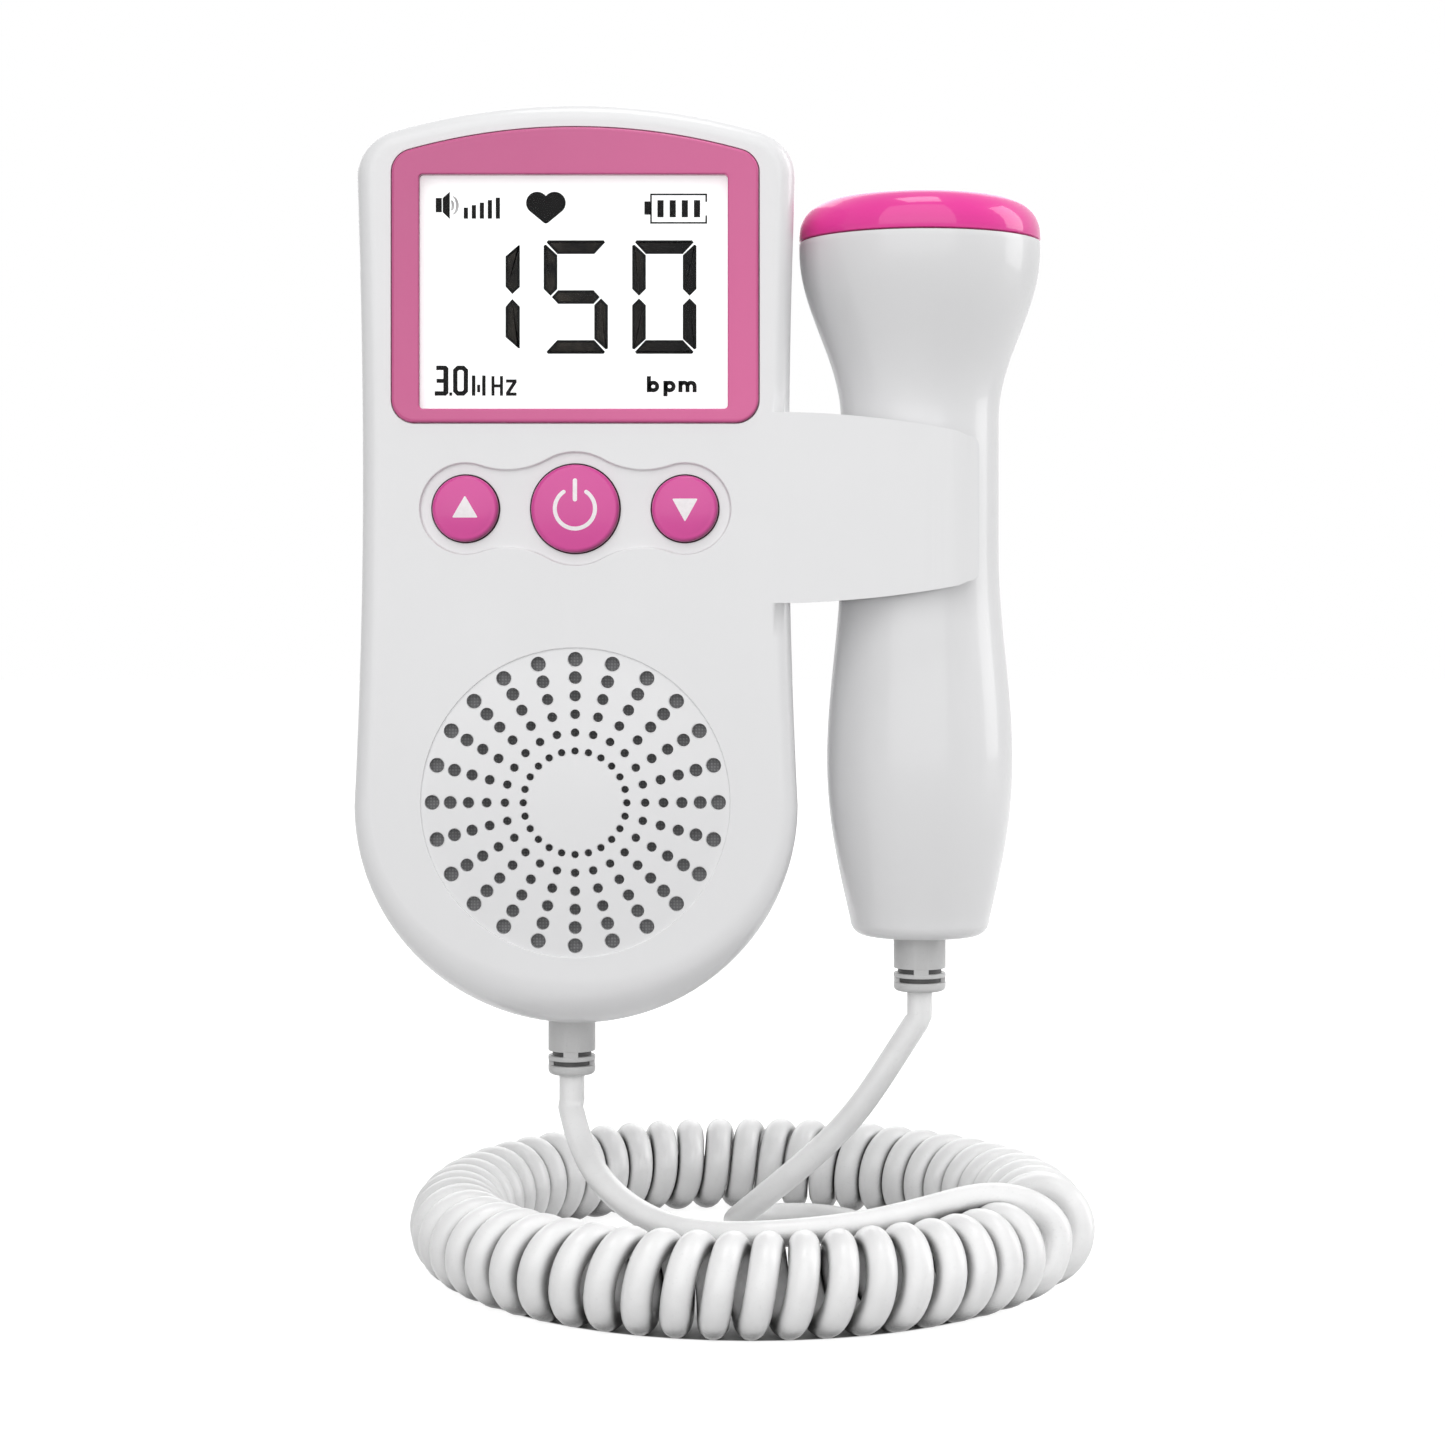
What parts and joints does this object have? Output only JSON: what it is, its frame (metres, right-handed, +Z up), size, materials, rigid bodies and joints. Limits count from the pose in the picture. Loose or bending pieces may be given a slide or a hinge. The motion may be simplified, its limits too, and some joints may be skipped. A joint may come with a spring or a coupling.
{
  "type": "fetal doppler",
  "caption": "Hand-held fetal doppler unit with display, keys and speaker grille, a clipped probe and a curly cord laid in a ring.",
  "frame": {"origin": "the middle of the flat back of the rear cover", "axes": "+X to the right seen from the front, +Y out of the back face, +Z up along the unit towards the display"},
  "size_m": [0.1195, 0.1116, 0.1898],
  "materials": {
    "white_plastic": "satin moulded",
    "pink_plastic": "fine grain",
    "bright_pink_plastic": "satin moulded",
    "clear_lens": "polished",
    "display_glass": "clear digits on a pale ground",
    "pale_plastic": "diffuse",
    "grey_plastic": "fine grain",
    "black_plastic": "fine grain",
    "steel": "plated",
    "board_green": "printed board",
    "grey_cloth": "acoustic cloth",
    "black_paper": "pressed paper",
    "battery_sleeve": "printed sleeve, bare of marks",
    "ceramic": "fired ceramic",
    "dark_backing": "loaded resin",
    "grey_rubber": "moulded",
    "cord_sheath": "smooth extruded sheath"
  },
  "bodies": {
    "case": {"front_cover": "white_plastic", "rear_cover": "white_plastic", "display_bezel": "pink_plastic", "display_window": "clear_lens", "lcd_panel": "display_glass", "backlight": "pale_plastic", "probe_socket": "pale_plastic", "lcd_holder": "grey_plastic", "switch_up": "black_plastic", "switch_power": "black_plastic", "switch_down": "black_plastic", "main_chip": "black_plastic", "speaker_magnet": "black_plastic", "speaker_frame": "steel", "contact_plus": "steel", "contact_minus": "steel", "contact_bridge": "steel", "case_screw_1": "steel", "case_screw_2": "steel", "case_screw_3": "steel", "case_screw_4": "steel", "main_board": "board_green", "speaker_cloth": "grey_cloth", "battery_left": "battery_sleeve", "battery_right": "battery_sleeve", "unit_strain_relief": "grey_rubber", "cord_unit_lead": "cord_sheath", "curly_cord": "cord_sheath", "cord_probe_lead": "cord_sheath"},
    "up_key": {"button_up": "bright_pink_plastic", "plunger_up": "steel"},
    "power_key": {"button_power": "bright_pink_plastic", "plunger_power": "steel"},
    "down_key": {"button_down": "bright_pink_plastic", "plunger_down": "steel"},
    "cone": {"speaker_cone": "black_paper"},
    "door": {"battery_door": "white_plastic"},
    "probe": {"probe_front_shell": "white_plastic", "probe_rear_shell": "white_plastic", "probe_cap": "bright_pink_plastic", "transducer_sender": "ceramic", "transducer_receiver": "ceramic", "transducer_backing": "dark_backing", "probe_board": "board_green", "probe_strain_relief": "grey_rubber"}
  },
  "joints": [
    {"name": "up_press", "type": "slide", "parent": "case", "child": "up_key", "axis": [0, 1, 0], "range_m": [0, 0.0006], "stiffness_N_per_m": 1500},
    {"name": "power_press", "type": "slide", "parent": "case", "child": "power_key", "axis": [0, 1, 0], "range_m": [0, 0.0006], "stiffness_N_per_m": 1500},
    {"name": "down_press", "type": "slide", "parent": "case", "child": "down_key", "axis": [0, 1, 0], "range_m": [0, 0.0006], "stiffness_N_per_m": 1500},
    {"name": "cone_travel", "type": "slide", "parent": "case", "child": "cone", "axis": [0, 1, 0], "range_m": [-0.00025, 0.00025], "stiffness_N_per_m": 1500},
    {"name": "door_lift", "type": "slide", "parent": "case", "child": "door", "axis": [0, 1, 0], "range_m": [0, 0.02]},
    {"name": "probe_pull", "type": "slide", "parent": "case", "child": "probe", "axis": [1, 0, 0], "range_m": [0, 0.06]}
  ]
}
